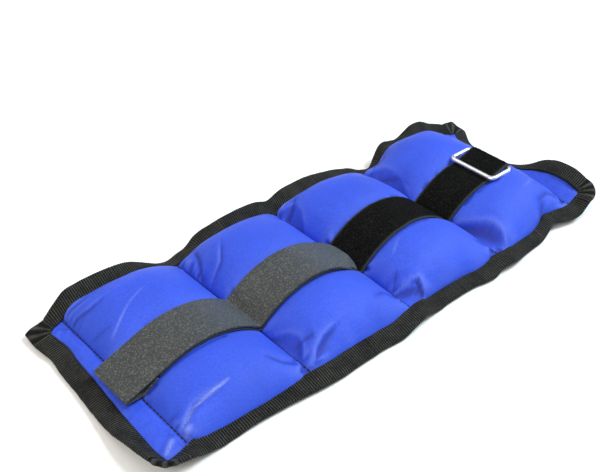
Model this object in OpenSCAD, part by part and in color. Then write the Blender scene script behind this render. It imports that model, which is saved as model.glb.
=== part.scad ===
// Ankle cuff weight, lying open on a table with its outer face up.
// Four sand-filled pockets in a row, an empty flap at each end, one binding all round,
// a loop tape along the outside, a hook strap folded back over it, and a wire ring.
// X runs along the cuff, Y across it and Z up from the table. The origin is under its middle.
// Every cross seam is a hinge: the cloth, binding and tape stop just short of its thread.

/* [Cuff] */
// Width over the bindings
cuff_w = 138; // [120:1:160]
// Length of one pocket, seam to seam
pocket_l = 75; // [70:1:84]
// Length of an end flap, seam to outer edge
flap_l = 22.5; // [22:1:30]
// Height of the cross seams above the table
seam_z = 6; // [5:0.5:7]
// Rise of a pocket above its seams
crown_h = 16.5; // [14:0.5:18]
// Rise of the arc from front to back, which the crown cuts off level
shoulder_h = 24; // [20:1:28]
// Slope of a pocket's underside at its seams, in degrees
under_slope = 30; // [25:1:35]

/* [Cloth] */
// Thickness of one layer of the cover or lining
cloth_t = 0.6; // [0.4:0.1:0.8]
// Thickness of a sand bag's film
bag_t = 0.4; // [0.3:0.1:0.6]
// Thickness of the sewing thread
thread_d = 0.9; // [0.6:0.1:1]
// Thickness of the finer thread on the binding and the straps
fine_thread_d = 0.6; // [0.4:0.1:0.8]

/* [Binding] */
// Width of the folded binding on each face
binding_w = 11; // [10:0.5:14]
// Thickness of the folded binding with the cloth in it
binding_t = 2.6; // [2.2:0.1:3]

/* [Straps] */
// Width of the loop tape and the hook strap
tape_w = 30; // [25:1:32]
// Place of their middle across the cuff
tape_y = -5; // [-8:1:8]
// Thickness of the loop tape
loop_t = 1.4; // [1:0.1:1.6]
// Thickness of the hook strap
hook_t = 1.2; // [1:0.1:1.4]
// How far the strap's fold reaches past the first seam
overhang = 8.5; // [6:0.5:10]
// Height of the strap's fold above the seams
fold_z = 3.35; // [3:0.05:4]
// Corner radius of the strap's tip
tip_r = 10; // [5:1:14]

/* [Ring] */
// Thickness of the wire
wire_d = 3; // [2.5:0.1:3.5]
// Length of the ring along the cuff, over the wire
ring_l = 21; // [19:1:26]
// Gap between the tape's edge and the ring's side wire
ring_side_gap = 0.5; // [0.5:0.1:1.5]
// Centre radius of the ring's corners
ring_corner_r = 2; // [2:0.1:2]
// Place of the ring's held bar, right of the last pocket's middle
bar_x = 16.5; // [14:0.5:18]

/* [Hinges] */
// Half angle kept free above a seam, in degrees
free_above = 16; // [14:1:20]
// Half angle kept free below a seam, in degrees
free_below = 39; // [38:1:42]

/* [Hidden] */
$fn = 96;

pocket_count = 4;
pocket_w = cuff_w - 2 * binding_w;
hinge_gap = 0.15;                    // half the slit left at a seam
hinge_r = thread_d / 2 + 0.35;       // cloth stops this far from the thread's middle
layer_gap = 0.1;                     // air between the layers in a pocket
sheet_gap = 0.05;                    // air between two sheets that lie together
moving_gap = 0.3;                    // air between two sheets that part when the cuff moves
sheet_z = (sheet_gap + cloth_t) / 2; // middle of a flat layer, above or below its partner
hem = 1.4;                           // from the cloth's edge to the binding's outer edge
big = 400;                           // longer than the cuff

function seam_x(k) = (k - 1 - pocket_count / 2) * pocket_l;   // k from 1, the left flap's seam
function pocket_x(i) = (seam_x(i) + seam_x(i + 1)) / 2;
function arc_r(chord, rise) = (chord * chord / 4 + rise * rise) / (2 * rise);

top_r = arc_r(pocket_l, crown_h);
top_z = crown_h - top_r;             // height of the crown arc's centre above the seams
flap_droop = asin((seam_z - binding_t / 2) / flap_l);

tape_in = top_r + sheet_gap;         // radii of the two sheets over a pocket's crown
tape_out = tape_in + loop_t;
strap_in = tape_out + moving_gap;
strap_out = strap_in + hook_t;

// The fold: the strap's two layers end at one line, and the upper one turns about it
fold_x = -pocket_l / 2 - overhang;
fold_gap = moving_gap / 2;
anchor_right = -pocket_l / 2 + 10;
tape_left = anchor_right + 0.5;

// The ring's two long bars and its sides, by the middle of the wire
bar_z = crown_h + sheet_gap + loop_t + layer_gap + wire_d / 2;
bar_pitch = ring_l - wire_d;
side_pitch = tape_w + 2 * ring_side_gap + wire_d;
keeper_in = wire_d / 2 + 0.15;
keeper_out = keeper_in + loop_t;
keeper_end = 6;                      // where the end that comes back under stops
keeper_z = crown_h + sheet_gap;      // where the tape leaves the cover and rises to the bar
keeper_rise = touch_angle(bar_x, bar_z - keeper_z, keeper_in);

cloth_blue = [0.18, 0.27, 0.83];
binding_black = [0.07, 0.07, 0.07];
loop_black = [0.05, 0.05, 0.05];
hook_grey = [0.22, 0.22, 0.21];

// ---- placing ----

// A pocket's own frame: its middle, at the height of the seams
module at_pocket(i) translate([pocket_x(i), 0, seam_z]) children();

// A sheet or band drawn in X and Z, given its width across the cuff
module across(width, middle = 0)
    translate([0, middle, 0]) rotate([90, 0, 0]) linear_extrude(width, center = true) children();

// What a seam's hinge needs free, drawn in X and Z about the thread
module hinge_space() {
    reach = 60;
    circle(hinge_r);
    square([2 * hinge_gap, 2 * reach], center = true);
    polygon([[0, 0], [reach * tan(free_above), reach], [-reach * tan(free_above), reach]]);
    polygon([[0, 0], [reach * tan(free_below), -reach], [-reach * tan(free_below), -reach]]);
}

// Children in a pocket's frame, cut back from the seams at both its ends
module between_seams() difference() {
    children();
    for (side = [-1, 1]) translate([side * pocket_l / 2, 0, 0]) across(2 * cuff_w) hinge_space();
}

// ---- pockets ----

// Outline of a full pocket: two arcs that meet at the seams, level where it rests
module lens(chord, rise, inset) intersection() {
    under_r = chord / 2 / sin(under_slope);
    translate([0, rise - arc_r(chord, rise)]) circle(arc_r(chord, rise) - inset);
    translate([0, under_r * cos(under_slope)]) circle(under_r - inset);
    translate([-chord, inset - seam_z]) square([2 * chord, big]);
}

module pillow(inset) intersection() {
    across(big) lens(pocket_l, crown_h, inset);
    rotate([90, 0, 90]) linear_extrude(big, center = true) lens(pocket_w, shoulder_h, inset);
}

module pocket_skin() difference() {
    pillow(0);
    pillow(cloth_t);
}

// Half space above the seams for side 1, below them for side -1
module half_space(side) translate([0, 0, side * (big + sheet_gap) / 2])
    cube([big, big, big], center = true);

// One layer of cloth on one pocket, with the edges that the binding holds
module pocket_cloth(i, side) color(cloth_blue) at_pocket(i) between_seams() {
    intersection() {
        pocket_skin();
        half_space(side);
    }
    for (edge = [-1, 1])
        translate([0, edge * (pocket_w / 2 + (binding_w - hem - 0.5) / 2), side * sheet_z])
            cube([pocket_l, binding_w - hem + 0.5, cloth_t], center = true);
}

module outer_cover(i) pocket_cloth(i, 1);
module lining(i) pocket_cloth(i, -1);

module sand_bag(i) color("gainsboro") at_pocket(i) between_seams() difference() {
    pillow(cloth_t + layer_gap);
    pillow(cloth_t + layer_gap + bag_t);
}

module sand_fill(i) color("tan") at_pocket(i) between_seams()
    pillow(cloth_t + bag_t + 2 * layer_gap);

// ---- binding ----

// Section of the folded tape, from its inner edge at 0 outwards
module binding_section() {
    translate([0, -binding_t / 2]) square([binding_w - binding_t / 2, binding_t]);
    translate([binding_w - binding_t / 2, 0]) circle(binding_t / 2);
}

module binding_bar(length) rotate([90, 0, 90]) linear_extrude(length, center = true) binding_section();

// The slot that the cloth's edges fill
module cloth_slot(length, width)
    cube([length, width, 2 * (cloth_t + sheet_gap)], center = true);

module long_binding(i, edge) color(binding_black) at_pocket(i) between_seams() difference() {
    scale([1, edge, 1]) translate([0, pocket_w / 2, 0]) binding_bar(pocket_l);
    cloth_slot(2 * pocket_l, cuff_w - 2 * (hem - sheet_gap));
}

// A stitch line, both faces
module stitch_pair(length) for (face = [-1, 1])
    translate([0, 0, face * (binding_t / 2 + fine_thread_d / 2 + 0.02)]) rotate([0, 90, 0])
        cylinder(d = fine_thread_d, h = length, center = true);

module binding_thread(i) color("black") at_pocket(i) for (edge = [-1, 1])
    translate([0, edge * (pocket_w / 2 + 1.5), 0]) stitch_pair(pocket_l - 4);

// ---- end flaps ----

// Children drawn flat to the right of a hinge at the origin, drooped to the table
module at_flap(side) translate([side * seam_x(pocket_count + 1), 0, seam_z])
    mirror([side < 0 ? 1 : 0, 0, 0]) difference() {
        rotate([0, flap_droop, 0]) children();
        across(2 * cuff_w) hinge_space();
    }

module flap_cloth(side, face) color(cloth_blue) at_flap(side)
    translate([(flap_l - hem) / 2, 0, face * sheet_z])
        cube([flap_l - hem, cuff_w - 2 * hem, cloth_t], center = true);

module end_binding(side) color(binding_black) at_flap(side) difference() {
    union() {
        for (edge = [-1, 1]) translate([flap_l / 2, 0, 0]) scale([1, edge, 1])
            translate([0, pocket_w / 2, 0]) binding_bar(flap_l - binding_t);
        translate([flap_l - binding_w, 0, 0]) rotate([0, 0, -90]) binding_bar(cuff_w - binding_t);
    }
    cloth_slot(2 * (flap_l - hem + sheet_gap), cuff_w - 2 * (hem - sheet_gap));
}

module end_thread(side) color("black") at_flap(side)
    translate([flap_l - binding_w + 1.5, 0, 0]) rotate([0, 0, 90]) stitch_pair(pocket_w - 4);

// ---- cross seams ----

module seam_thread(k) color("black") translate([seam_x(k), 0, seam_z]) rotate([90, 0, 0])
    cylinder(d = thread_d, h = pocket_w - 2, center = true);

// ---- loop tape ----

// A sheet lying over a pocket's crown, from x = left to x = right, drawn in X and Z
module crown_band(inner, outer, left, right) intersection() {
    translate([0, top_z]) difference() {
        circle(outer);
        circle(inner);
    }
    translate([left, -0.5]) square([right - left, big]);
}

// The angle and length of a straight sheet from a point to a circle, touching it from above
function touch_angle(dx, dz, r) = atan2(dz, dx) + asin(r / norm([dx, dz]));
function touch_length(dx, dz, r) = sqrt(dx * dx + dz * dz - r * r);

// The tape's end: up over the held bar, round it and back under, drawn in X and Z
module keeper() {
    reach = touch_length(bar_x, bar_z - keeper_z, keeper_in);
    far = 2 * keeper_out;
    translate([0, keeper_z]) rotate(keeper_rise) square([reach + 0.1, loop_t]);
    translate([bar_x, bar_z]) intersection() {
        difference() {
            circle(keeper_out);
            circle(keeper_in);
        }
        polygon([
            [0, 0], far * [-sin(keeper_rise), cos(keeper_rise)], [0, far],
            [far, far], [far, -far], [0, -far]
        ]);
    }
    translate([keeper_end, bar_z - keeper_out]) square([bar_x - keeper_end + 0.1, loop_t]);
}

module loop_tape(i) color(loop_black) at_pocket(i) between_seams() across(tape_w, tape_y) {
    crown_band(tape_in, tape_out, i == 1 ? tape_left : -pocket_l / 2,
               i == pocket_count ? 0.1 : pocket_l / 2);
    if (i == pocket_count) keeper();
}

module keeper_stitches() color("black") at_pocket(pocket_count)
    translate([0, tape_y, keeper_z]) rotate([0, -keeper_rise, 0])
        for (x = [6.5, 8.5]) translate([x, 0, loop_t + fine_thread_d / 2 + 0.02])
            rotate([90, 0, 0]) cylinder(d = fine_thread_d, h = tape_w - 4, center = true);

// ---- hook strap ----

module strap_anchor() color(hook_grey) at_pocket(1) across(tape_w, tape_y) {
    left_z = fold_z - fold_gap - hook_t;
    seam_side = -pocket_l / 2 + 1;
    run = seam_side - fold_x;
    rise = sqrt(tape_in * tape_in - seam_side * seam_side) + top_z - left_z;
    crown_band(tape_in, tape_in + hook_t, seam_side - 0.2, anchor_right);
    translate([fold_x, left_z]) multmatrix([[1, 0, 0, 0], [rise / run, 1, 0, 0], [0, 0, 1, 0]])
        square([run, hook_t]);
}

module anchor_stitches() color("black") at_pocket(1) for (x = [4, 8]) {
    angle = asin((x - pocket_l / 2) / tape_in);
    r = tape_in + hook_t + fine_thread_d / 2 + 0.02;
    translate([r * sin(angle), tape_y, top_z + r * cos(angle)]) rotate([90, 0, 0])
        cylinder(d = fine_thread_d, h = tape_w - 4, center = true);
}

// The upper layer: straight from the fold to the first crown, then over it to the seam
module hook_strap_base() color(hook_grey) at_pocket(1) difference() {
    start_z = fold_z + fold_gap;
    rise = touch_angle(-fold_x, top_z - start_z, strap_in);
    reach = touch_length(-fold_x, top_z - start_z, strap_in);
    across(tape_w, tape_y) {
        translate([fold_x, start_z]) rotate(rise) square([reach, hook_t]);
        crown_band(strap_in, strap_out, fold_x + reach * cos(rise) - 0.05, pocket_l / 2);
    }
    translate([pocket_l / 2, 0, 0]) across(2 * cuff_w) hinge_space();
}

// Plan of the rounded tip, which ends just short of the second pocket's right seam
module tip_plan() {
    right = pocket_l / 2 - 1.5;
    translate([-pocket_l, -tape_w / 2]) square([pocket_l + right - tip_r, tape_w]);
    translate([-pocket_l, tip_r - tape_w / 2]) square([pocket_l + right, tape_w - 2 * tip_r]);
    for (edge = [-1, 1]) translate([right - tip_r, edge * (tape_w / 2 - tip_r)]) circle(tip_r);
}

module hook_strap_tip() color(hook_grey) at_pocket(2) intersection() {
    between_seams() across(tape_w, tape_y)
        crown_band(strap_in, strap_out, -pocket_l / 2, pocket_l / 2);
    translate([0, tape_y, 0]) linear_extrude(big, center = true) tip_plan();
}

// ---- ring ----

module ring_corner(angle) rotate([0, 0, angle]) rotate_extrude(angle = 90)
    translate([ring_corner_r, 0]) circle(d = wire_d);

module buckle_ring() color("silver") at_pocket(pocket_count)
    translate([bar_x - bar_pitch / 2, tape_y, bar_z]) {
        half_l = bar_pitch / 2;
        half_w = side_pitch / 2;
        for (end = [-1, 1]) {
            translate([end * half_l, 0, 0]) rotate([90, 0, 0])
                cylinder(d = wire_d, h = 2 * (half_w - ring_corner_r), center = true);
            translate([0, end * half_w, 0]) rotate([0, 90, 0])
                cylinder(d = wire_d, h = 2 * (half_l - ring_corner_r), center = true);
        }
        for (quarter = [0:3]) {
            x = (quarter == 0 || quarter == 3 ? 1 : -1) * (half_l - ring_corner_r);
            y = (quarter < 2 ? 1 : -1) * (half_w - ring_corner_r);
            translate([x, y, 0]) ring_corner(quarter * 90);
        }
    }

// ---- nodes ----

for (i = [1:pocket_count]) {
    outer_cover(i);
    lining(i);
    sand_bag(i);
    sand_fill(i);
    long_binding(i, -1);
    long_binding(i, 1);
    binding_thread(i);
    loop_tape(i);
}
for (k = [1:pocket_count + 1])
    seam_thread(k);
flap_cloth(-1, 1);  // left_flap_cover
flap_cloth(-1, -1);  // left_flap_lining
end_binding(-1);  // left_end_binding
end_thread(-1);  // left_end_thread
flap_cloth(1, 1);  // right_flap_cover
flap_cloth(1, -1);  // right_flap_lining
end_binding(1);  // right_end_binding
end_thread(1);  // right_end_thread
strap_anchor();
anchor_stitches();
hook_strap_base();
hook_strap_tip();
keeper_stitches();
buckle_ring();
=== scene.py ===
import math

import bpy
import numpy as np
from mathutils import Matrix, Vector


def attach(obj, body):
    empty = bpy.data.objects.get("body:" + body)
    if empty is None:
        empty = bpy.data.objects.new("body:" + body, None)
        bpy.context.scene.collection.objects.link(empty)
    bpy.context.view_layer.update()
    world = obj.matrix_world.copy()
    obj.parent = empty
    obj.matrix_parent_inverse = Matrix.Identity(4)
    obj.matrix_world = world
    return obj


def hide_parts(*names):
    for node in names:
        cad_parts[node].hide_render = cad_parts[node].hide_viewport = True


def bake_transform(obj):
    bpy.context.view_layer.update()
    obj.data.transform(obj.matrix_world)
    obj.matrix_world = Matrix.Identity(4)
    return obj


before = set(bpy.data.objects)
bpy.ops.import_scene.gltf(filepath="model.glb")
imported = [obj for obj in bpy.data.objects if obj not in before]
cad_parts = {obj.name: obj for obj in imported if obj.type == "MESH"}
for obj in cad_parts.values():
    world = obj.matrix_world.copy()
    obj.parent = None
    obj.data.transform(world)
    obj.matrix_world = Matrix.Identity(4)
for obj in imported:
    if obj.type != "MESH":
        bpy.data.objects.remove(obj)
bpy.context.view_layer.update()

MM = 0.001
SEAM_Z = 6.0                    # height of the cross seams
FLOOR_GAP = 0.1                 # no binding or tape lies lower than this
CLOTH_GAP = 0.25                # and no pocket's cloth settles lower than this
PITCH = 75.0                    # from seam to seam
HALF_W = 57.5                   # from the middle to the binding's inner edge
END_X = 161.5                   # from the middle to the end binding's inner edge
CORNER_X = 155.0                # where the end bindings begin
BINDING_W = 11.0
BINDING_HALF_T = 1.3
SEAMS = [PITCH * k for k in (-2, -1, 0, 1, 2)]
CENTRES = [PITCH * k for k in (-1.5, -0.5, 0.5, 1.5)]
BODIES = ["flap_left", "pocket_1", "pocket_2", "pocket_3", "pocket_4", "flap_right"]
BEND = 7                        # cloth bends within this distance of a seam
TAPE_Y, TAPE_W = -5.0, 30.0
LOOP_T, HOOK_T = 1.4, 1.2
TAPE_GAP = 0.05                 # from the cloth to a tape that lies on it
STRAP_H = [14.6, 16.4, 17.6, 16.5]      # rise of each pocket's crown under the tapes
CROWN_H = [15.6, 17.6, 19.0, 18.2]      # rise of each pocket's crown beside them
CROWN_TILT = [0.10, 0.02, -0.05, 0.0]   # how much more the far half is filled
BELLY = 10.5                    # how far the underside would hang without the floor
FOLD = (-158.5, 9.35)           # x and z of the strap's fold
BAR = (129.0, 25.55)            # x and z of the ring's held bar
BAR_R = 1.65                    # radius that the tape keeps from that bar's middle
PRESSURE = 0.05                 # push on the cloth in each round of settling
NO_CEILING = 60.0
NOISE_N = 64                    # rows and columns in a table of noise


# ---------------------------------------------------------------- numbers and noise
def smooth_noise(x, y, cell, seed):
    """Smooth values from -1 to 1, with lumps about cell across."""
    table = np.random.default_rng(seed).uniform(-1, 1, (NOISE_N, NOISE_N))
    gx, gy = np.broadcast_arrays(np.asarray(x, float) / cell, np.asarray(y, float) / cell)
    ix, iy = np.floor(gx).astype(int), np.floor(gy).astype(int)
    fx, fy = gx - ix, gy - iy
    fx, fy = fx * fx * (3 - 2 * fx), fy * fy * (3 - 2 * fy)

    def at(a, b):
        return table[a % NOISE_N, b % NOISE_N]

    low = at(ix, iy) * (1 - fx) + at(ix + 1, iy) * fx
    high = at(ix, iy + 1) * (1 - fx) + at(ix + 1, iy + 1) * fx
    return low * (1 - fy) + high * fy


def curve_through(values):
    """A smooth function through the values given at each place."""
    xs = np.array(list(values), float)
    vs = np.array(list(values.values()), float)
    slope = np.gradient(vs, xs)

    def value(x):
        x = np.clip(np.asarray(x, float), xs[0], xs[-1])
        k = np.clip(np.searchsorted(xs, x) - 1, 0, len(xs) - 2)
        h = xs[k + 1] - xs[k]
        t = (x - xs[k]) / h
        a, b = 2 * t**3 - 3 * t**2 + 1, t**3 - 2 * t**2 + t
        c, d = -2 * t**3 + 3 * t**2, t**3 - t**2
        return a * vs[k] + b * h * slope[k] + c * vs[k + 1] + d * h * slope[k + 1]

    return value


def unit(v):
    """Vectors of length 1, the same way."""
    return v / np.maximum(np.linalg.norm(v, axis=-1, keepdims=True), 1e-9)


def resample(path, step):
    """Points along a polyline, step apart, and their distance from its start."""
    path = np.asarray(path, float)
    s = np.concatenate([[0], np.cumsum(np.linalg.norm(np.diff(path, axis=0), axis=1))])
    n = max(2, int(round(s[-1] / step)) + 1)
    at = np.linspace(0, s[-1], n)
    return np.stack([np.interp(at, s, path[:, k]) for k in range(path.shape[1])], 1), at


def soften(path, reach, step):
    """A polyline rounded over about that reach, its two ends kept."""
    n = max(1, int(round(reach / step)))
    out = path.copy()
    for _ in range(3):
        padded = np.concatenate([2 * out[:1] - out[n:0:-1], out, 2 * out[-1:] - out[-2:-n - 2:-1]])
        kernel = np.ones(2 * n + 1) / (2 * n + 1)
        out = np.stack([np.convolve(padded[:, k], kernel, "valid") for k in range(out.shape[1])], 1)
    return out


# ---------------------------------------------------------------- meshes
def new_object(name, points, faces, uv, mat, attributes=None):
    """A smooth-shaded mesh of quads, from points in mm."""
    mesh = bpy.data.meshes.new(name)
    faces = np.asarray(faces, np.int32)
    mesh.vertices.add(len(points))
    mesh.vertices.foreach_set("co", (np.asarray(points, np.float32) * MM).ravel())
    mesh.loops.add(faces.size)
    mesh.loops.foreach_set("vertex_index", faces.ravel())
    mesh.polygons.add(len(faces))
    mesh.polygons.foreach_set("loop_start", np.arange(0, faces.size, faces.shape[1], dtype=np.int32))
    mesh.polygons.foreach_set("use_smooth", np.ones(len(faces), bool))
    if uv is not None:
        layer = mesh.uv_layers.new(name="cloth")
        layer.data.foreach_set("uv", (np.asarray(uv, np.float32) * MM)[faces.ravel()].ravel())
    for key, values in (attributes or {}).items():
        made = mesh.attributes.new(key, "FLOAT", "POINT")
        made.data.foreach_set("value", np.asarray(values, np.float32))
    mesh.update(calc_edges=True)
    mesh.validate()
    mesh.materials.append(mat)
    obj = bpy.data.objects.new(name, mesh)
    bpy.context.scene.collection.objects.link(obj)
    return obj


def grid_faces(rows, cols, wrap=False, first=0):
    """Quads of a grid of points, closed round its columns if wrap."""
    r = np.arange(rows - 1)[:, None]
    c = np.arange(cols if wrap else cols - 1)[None]
    n = (c + 1) % cols
    quads = np.stack([r * cols + c, r * cols + n, (r + 1) * cols + n, (r + 1) * cols + c], -1)
    return quads.reshape(-1, 4) + first


def sweep(name, centres, across, normals, section, lengths, mat, shape=None, extra=None):
    """A closed section carried along a path and capped. section is (k, 2): across and normal offsets.
    shape(offsets, s) may change the offsets at each length."""
    k = len(section)
    a = np.broadcast_to(section[None, :, 0], (len(centres), k)).copy()
    c = np.broadcast_to(section[None, :, 1], (len(centres), k)).copy()
    if shape:
        a, c = shape(a, c, lengths[:, None])
    p = centres[:, None] + a[..., None] * across[:, None] + c[..., None] * normals[:, None]
    p[..., 2] = np.maximum(p[..., 2], FLOOR_GAP)
    around = np.concatenate([[0], np.cumsum(np.linalg.norm(np.diff(section, axis=0), axis=1))])
    uv = np.stack(np.broadcast_arrays(lengths[:, None], around[None]), -1)
    faces = [grid_faces(len(centres), k, wrap=True)]
    for first, order in ((0, -1), ((len(centres) - 1) * k, 1)):
        cap = [(i, i + 1, k - 2 - i, k - 1 - i)[::order] for i in range(k // 2 - 1)]
        faces.append(np.array(cap, np.int32) + first)
    return new_object(name, p.reshape(-1, 3), np.concatenate(faces)[:, ::-1], uv.reshape(-1, 2), mat, extra)


# ---------------------------------------------------------------- how the pieces move
def stands_for(obj, slot, *nodes, body=None):
    """The piece's finish, which is not used, the nodes that it replaces and, if it doesn't bend, the body
    that it rides on.
    """
    if body:
        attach(obj, body)
    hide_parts(*nodes)


def bend_at_seam(obj, k):
    """Works out the bodies at seam k, from the one nearer the second pocket to the one beyond it, and the
    ends of a bend there, but does not use them: the piece's place is only baked into its mesh.
    """
    bodies, ends = (BODIES[k], BODIES[k + 1]), (SEAMS[k] - BEND, SEAMS[k] + BEND)
    if k < 2:
        bodies, ends = bodies[::-1], ends[::-1]
    start, end = ((x * MM, 0, SEAM_Z * MM) for x in ends)
    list(bodies)
    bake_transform(obj)
    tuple(start)
    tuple(end)


# ---------------------------------------------------------------- materials
def shade_of(colour, factor):
    """The colour made darker or paler, with full alpha."""
    return (*[min(1, c * factor) for c in colour], 1)


class Nodes:
    """Short calls for building a material's nodes."""

    def __init__(self, name):
        self.mat = bpy.data.materials.new(name)
        self.mat.use_nodes = True
        self.tree = self.mat.node_tree
        self.bsdf = self.tree.nodes["Principled BSDF"]

    def add(self, kind, settings=None, **inputs):
        n = self.tree.nodes.new(kind)
        for k, v in (settings or {}).items():
            setattr(n, k, v)
        for k, v in inputs.items():
            key = int(k[1:]) if k[0] == "i" and k[1:].isdigit() else k.replace("_", " ")
            self.put(n.inputs[key], v)
        return n

    def put(self, socket, v):
        if isinstance(v, bpy.types.NodeSocket):
            self.tree.links.new(v, socket)
        else:
            socket.default_value = v

    def math(self, op, a, b=0.0, c=None):
        n = self.add("ShaderNodeMath", {"operation": op}, i0=a, i1=b)
        if c is not None:
            self.put(n.inputs[2], c)
        return n.outputs[0]

    def mix(self, factor, a, b):
        n = self.add("ShaderNodeMix", {"data_type": "RGBA"}, i0=factor, i6=a, i7=b)
        return n.outputs[2]

    def ramp(self, value, stops):
        n = self.add("ShaderNodeValToRGB", Fac=value)
        ramp = n.color_ramp
        while len(ramp.elements) < len(stops):
            ramp.elements.new(0.5)
        for e, (at, v) in zip(ramp.elements, stops):
            e.position = at
            e.color = (v, v, v, 1) if isinstance(v, (int, float)) else (*v, 1)
        return n.outputs[0]

    def noise(self, scale, detail=3.0, rough=0.55, stretch=None):
        where = self.add("ShaderNodeTexCoord").outputs["Object"]
        if stretch:
            where = self.add("ShaderNodeMapping", Vector=where, Scale=stretch).outputs[0]
        n = self.add("ShaderNodeTexNoise", Vector=where, Scale=scale, Detail=detail, Roughness=rough)
        return n.outputs[0]

    def patches(self, scale, detail, low, high, rough=0.55):
        """Noise that is 0 up to low and 1 from high."""
        return self.ramp(self.noise(scale, detail, rough), [(low, 0.0), (high, 1.0)])

    def attribute(self, name):
        return self.add("ShaderNodeAttribute", {"attribute_name": name}).outputs["Fac"]

    def cloth_uv(self):
        """Places along and across the cloth, in metres."""
        uv = self.add("ShaderNodeUVMap", {"uv_map": "cloth"}).outputs[0]
        s = self.add("ShaderNodeSeparateXYZ", Vector=uv)
        return s.outputs[0], s.outputs[1]

    def wave(self, along, pitch):
        """A sine that changes sign every pitch mm."""
        return self.math("SINE", self.math("MULTIPLY", along, math.pi / (pitch * MM)))

    def weave(self, u, v, pitch):
        """Height of a plain weave: warp and weft take turns on top."""
        su, sv = self.wave(u, pitch), self.wave(v, pitch)
        over = self.math("GREATER_THAN", self.math("MULTIPLY", su, sv), 0.0)
        au, av = self.math("ABSOLUTE", su), self.math("ABSOLUTE", sv)
        n = self.add("ShaderNodeMix", {"data_type": "FLOAT"}, i0=over, i2=av, i3=au)
        return n.outputs[0]

    def bump(self, height, strength, distance, under=None):
        n = self.add("ShaderNodeBump", Height=height, Strength=strength, Distance=distance)
        if under is not None:
            self.put(n.inputs["Normal"], under)
        return n.outputs[0]

    def done(self, colour, **inputs):
        """The finished material. A plain number is set on the shader's own socket."""
        self.put(self.bsdf.inputs["Base Color"], colour)
        for name, value in inputs.items():
            self.put(self.bsdf.inputs[name.replace("_", " ")], value)
        return self.mat


def nylon(name, base, fold_shade_colour, pale):
    """Fine woven nylon: satin, with a painted highlight that makes it a little paler on crests, pale fold
    marks on creases, and painted shade that makes it deeper in folds.
    """
    m = Nodes(name)
    u, v = m.cloth_uv()
    colour = m.mix(m.patches(28, 4, 0.3, 0.7), shade_of(base, 0.88), shade_of(base, 1.08))
    # Painted shade: the cloth darkened towards the fold colour in hollows, folds and along sharp creases.
    painted_shade_and_highlight = m.attribute("painted_shade_and_highlight")
    folded = m.math("MAXIMUM", m.math("MULTIPLY", painted_shade_and_highlight, -1.0), 0.0)
    colour = m.mix(m.math("MULTIPLY", folded, 0.75), colour, (*fold_shade_colour, 1))
    grain = m.patches(1050, 3, 0.36, 0.66, rough=0.7)
    colour = m.mix(m.math("MULTIPLY", grain, 0.55), colour, shade_of(base, 0.55))
    fleck = m.patches(1500, 2, 0.45, 0.75)
    wear_and_highlight = m.math("MULTIPLY", m.attribute("mark"), m.math("MULTIPLY_ADD", fleck, 0.6, 0.4))
    # Painted highlight: the cloth made paler on crests, added to the pale fold marks.
    crest_highlight = m.math("MULTIPLY", m.math("MAXIMUM", painted_shade_and_highlight, 0.0), 0.10)
    colour = m.mix(m.math("MINIMUM", m.math("ADD", wear_and_highlight, crest_highlight), 1.0), colour, (*pale, 1))
    slub = m.noise(900, 2, stretch=(1, 0.15, 1))
    height = m.math("MULTIPLY_ADD", slub, 0.35, m.weave(u, v, 0.42))
    waves = m.bump(m.noise(120, 4), 0.5, 0.0012)
    return m.done(colour, Normal=m.bump(height, 0.45, 0.00012, waves),
                  Roughness=m.ramp(m.noise(90, 3), [(0.2, 0.50), (0.8, 0.62)]), Specular_IOR_Level=0.36,
                  Sheen_Weight=0.05, Sheen_Roughness=0.35, Sheen_Tint=(0.65, 0.72, 1.0, 1))


def ribbed(name, base, light):
    """Grosgrain: ribs across the tape with a painted highlight on their crests and black between them, fine
    threads along it.
    """
    m = Nodes(name)
    _, v = m.cloth_uv()
    rib = m.attribute("rib")
    # Painted highlight: the ribs' crests painted pale, stronger in some patches than others.
    wear_and_highlight = m.ramp(m.noise(140, 4, 0.6), [(0.35, 0.35), (0.7, 1.0)])
    crest = m.math("MULTIPLY", m.math("POWER", rib, 2.6), wear_and_highlight)
    colour = m.mix(crest, (*base, 1), (*light, 1))
    speck = m.math("MULTIPLY", m.patches(1700, 2, 0.55, 0.72, rough=0.6), m.math("MULTIPLY", rib, 0.7))
    height = m.math("MULTIPLY_ADD", m.noise(1400, 2), 0.8, m.math("ABSOLUTE", m.wave(v, 0.45)))
    return m.done(m.mix(speck, colour, (0.12, 0.12, 0.11, 1)), Normal=m.bump(height, 0.5, 0.00012),
                  Roughness=0.6, Specular_IOR_Level=0.10, Sheen_Weight=0.02, Sheen_Roughness=0.45)


def pile(name):
    """Brushed loop pile: matt black with a soft speckle, and a smooth woven edge."""
    m = Nodes(name)
    u, _ = m.cloth_uv()
    dark = m.mix(m.patches(90, 3, 0.3, 0.75), (0.0022, 0.0022, 0.0024, 1), (0.005, 0.005, 0.005, 1))
    speck = m.math("MULTIPLY", m.patches(1000, 3, 0.50, 0.74, rough=0.7), 0.7)
    curls = m.mix(speck, dark, (0.030, 0.031, 0.026, 1))
    cord = m.math("MULTIPLY_ADD", m.wave(u, 0.45), 0.3, 0.7)
    edge = m.mix(cord, (0.012, 0.014, 0.016, 1), (0.050, 0.060, 0.068, 1))
    return m.done(m.mix(m.attribute("selvedge"), curls, edge), Roughness=0.95, Specular_IOR_Level=0.06,
                  Normal=m.bump(m.noise(1500, 4, 0.75), 0.9, 0.0006))


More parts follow.
